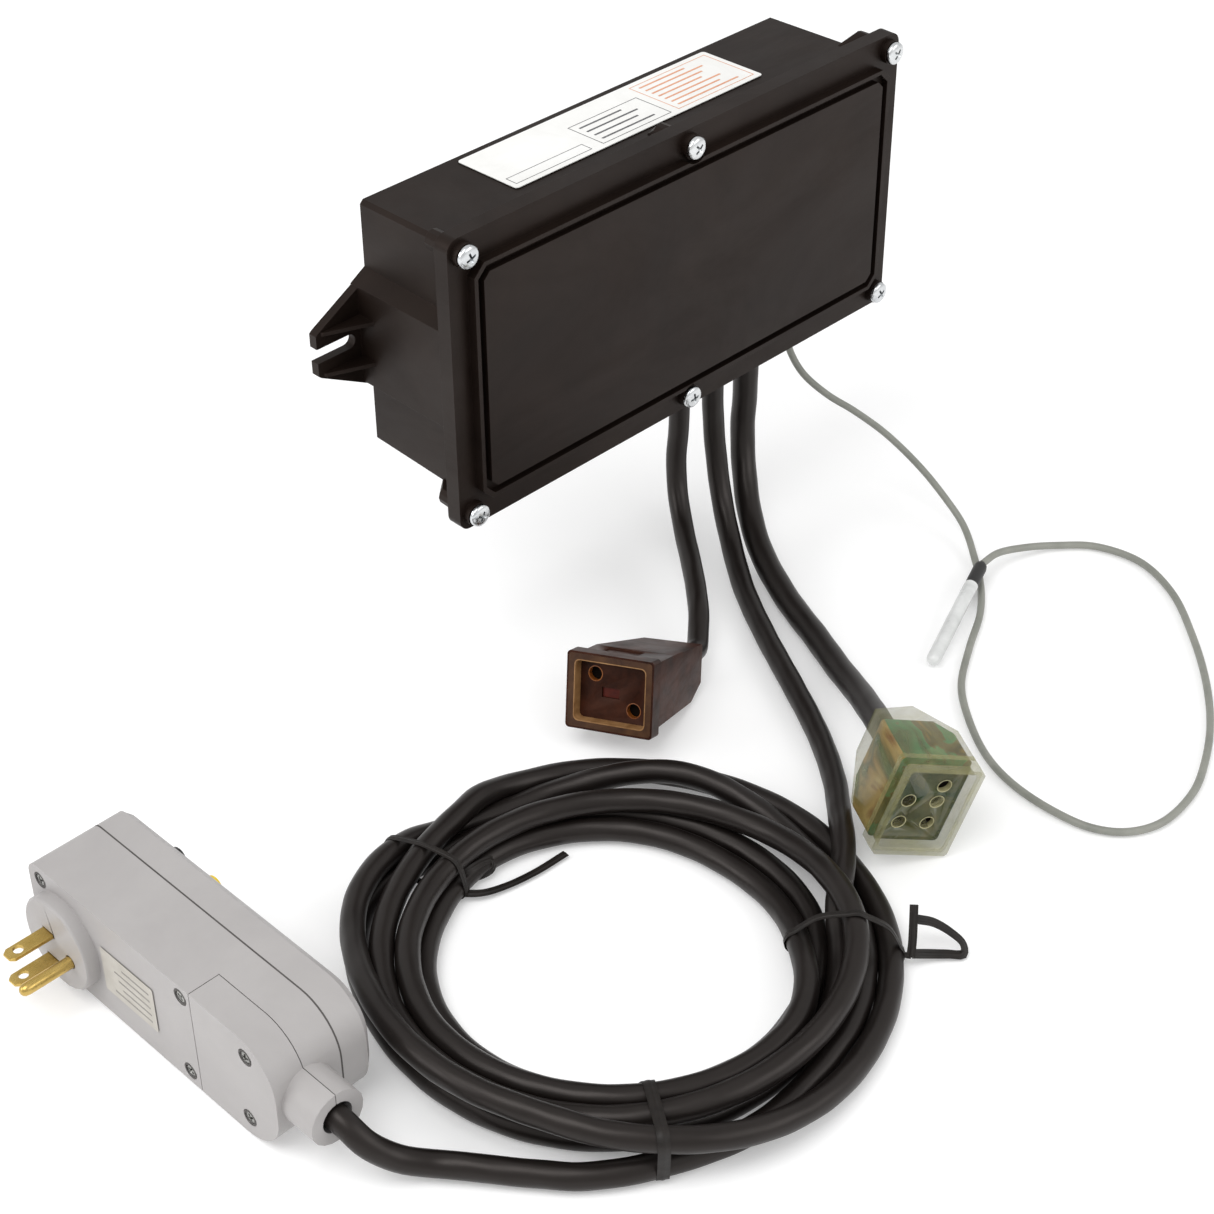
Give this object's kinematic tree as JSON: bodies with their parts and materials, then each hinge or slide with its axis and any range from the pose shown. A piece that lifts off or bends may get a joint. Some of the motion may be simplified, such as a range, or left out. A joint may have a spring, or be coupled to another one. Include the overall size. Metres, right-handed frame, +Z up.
{
  "type": "pool equipment control box",
  "caption": "Wall-mounted plastic control box for pool or spa equipment, with screwed lid, slotted ears, coiled plug-in protected cord, receptacle leads and a temperature probe.",
  "frame": {"origin": "centre of the flat rear mounting plane of the box, midway between the two slotted ears", "axes": "+Y out of the rear face into the wall, +X along the width of the box to the sensor side, +Z up; the cords leave the underside and end on a surface 160 mm below the origin"},
  "size_m": [0.5082, 0.2978, 0.2239],
  "materials": {
    "abs_black": "satin moulded ABS, near black, fine texture",
    "gasket_rubber": "soft closed-cell sealing cord",
    "zinc_steel": "bright zinc plated steel",
    "label_white": "blank white laminated sticker",
    "board_green": "solder-masked glass epoxy board",
    "transformer_core": "varnished laminated core with wound bobbin",
    "relay_blue": "moulded relay case",
    "terminal_cream": "moulded terminal strip",
    "gland_black": "moulded nylon",
    "cord_black": "black PVC jacket, semi-gloss",
    "tie_black": "ribbed plastic-coated wire tie",
    "plug_grey": "warm light grey moulded plastic, satin",
    "button_black": "black moulded cap",
    "button_yellow": "yellow moulded cap",
    "spring_steel": "drawn spring wire",
    "blade_brass": "bare brass, lightly brushed",
    "receptacle_amber": "translucent dark amber-brown moulded PVC",
    "contact_brass": "rolled brass contact",
    "receptacle_clear": "translucent yellowish clear moulded PVC",
    "sensor_grey": "grey-green PVC jacket",
    "probe_grey": "potted thermistor sleeve, pale with a dark potted end"
  },
  "bodies": {
    "control_box": {"housing": "abs_black", "front_cover": "abs_black", "cover_gasket": "gasket_rubber", "cover_screw_top_left": "zinc_steel", "cover_screw_top_middle": "zinc_steel", "cover_screw_top_right": "zinc_steel", "cover_screw_bottom_left": "zinc_steel", "cover_screw_bottom_middle": "zinc_steel", "cover_screw_bottom_right": "zinc_steel", "rating_plate": "label_white", "control_board": "board_green", "board_screw_top_left": "zinc_steel", "board_screw_top_right": "zinc_steel", "board_screw_bottom_left": "zinc_steel", "board_screw_bottom_right": "zinc_steel", "transformer": "transformer_core", "pump_relay": "relay_blue", "heater_relay": "relay_blue", "terminal_block": "terminal_cream", "mains_strain_relief": "gland_black", "pump_strain_relief": "gland_black", "heater_strain_relief": "gland_black", "sensor_strain_relief": "gland_black", "mains_cord_run": "cord_black", "mains_cord_coil": "cord_black", "mains_cord_tail": "cord_black", "cord_tie_upper": "tie_black", "cord_tie_right": "tie_black", "cord_tie_lower": "tie_black", "plug_rear_housing": "plug_grey", "plug_wiring_cover": "plug_grey", "plug_front_cover": "plug_grey", "test_spring": "spring_steel", "reset_spring": "spring_steel", "plug_trip_board": "board_green", "plug_blade_upper": "blade_brass", "plug_blade_lower": "blade_brass", "plug_ground_pin": "blade_brass", "plug_screw_1": "zinc_steel", "plug_screw_2": "zinc_steel", "plug_screw_3": "zinc_steel", "plug_screw_4": "zinc_steel", "plug_screw_5": "zinc_steel", "plug_sticker": "label_white", "pump_receptacle": "receptacle_amber", "pump_contact_live": "contact_brass", "pump_contact_neutral": "contact_brass", "pump_contact_ground": "contact_brass", "heater_receptacle": "receptacle_clear", "heater_contact_1": "contact_brass", "heater_contact_2": "contact_brass", "heater_contact_3": "contact_brass", "heater_contact_4": "contact_brass", "heater_contact_5": "contact_brass", "pump_cord": "cord_black", "heater_cord": "cord_black", "sensor_cord": "sensor_grey", "sensor_probe": "probe_grey"},
    "test_button": {"test_button": "button_black"},
    "reset_button": {"reset_button": "button_yellow"}
  },
  "joints": [
    {"name": "test_press", "type": "slide", "parent": "control_box", "child": "test_button", "axis": [-1, 0, 0], "range_m": [0, 0.0015], "stiffness_N_per_m": 400, "springref_m": -0.001},
    {"name": "reset_press", "type": "slide", "parent": "control_box", "child": "reset_button", "axis": [-1, 0, 0], "range_m": [0, 0.0015], "stiffness_N_per_m": 400, "springref_m": -0.001}
  ]
}
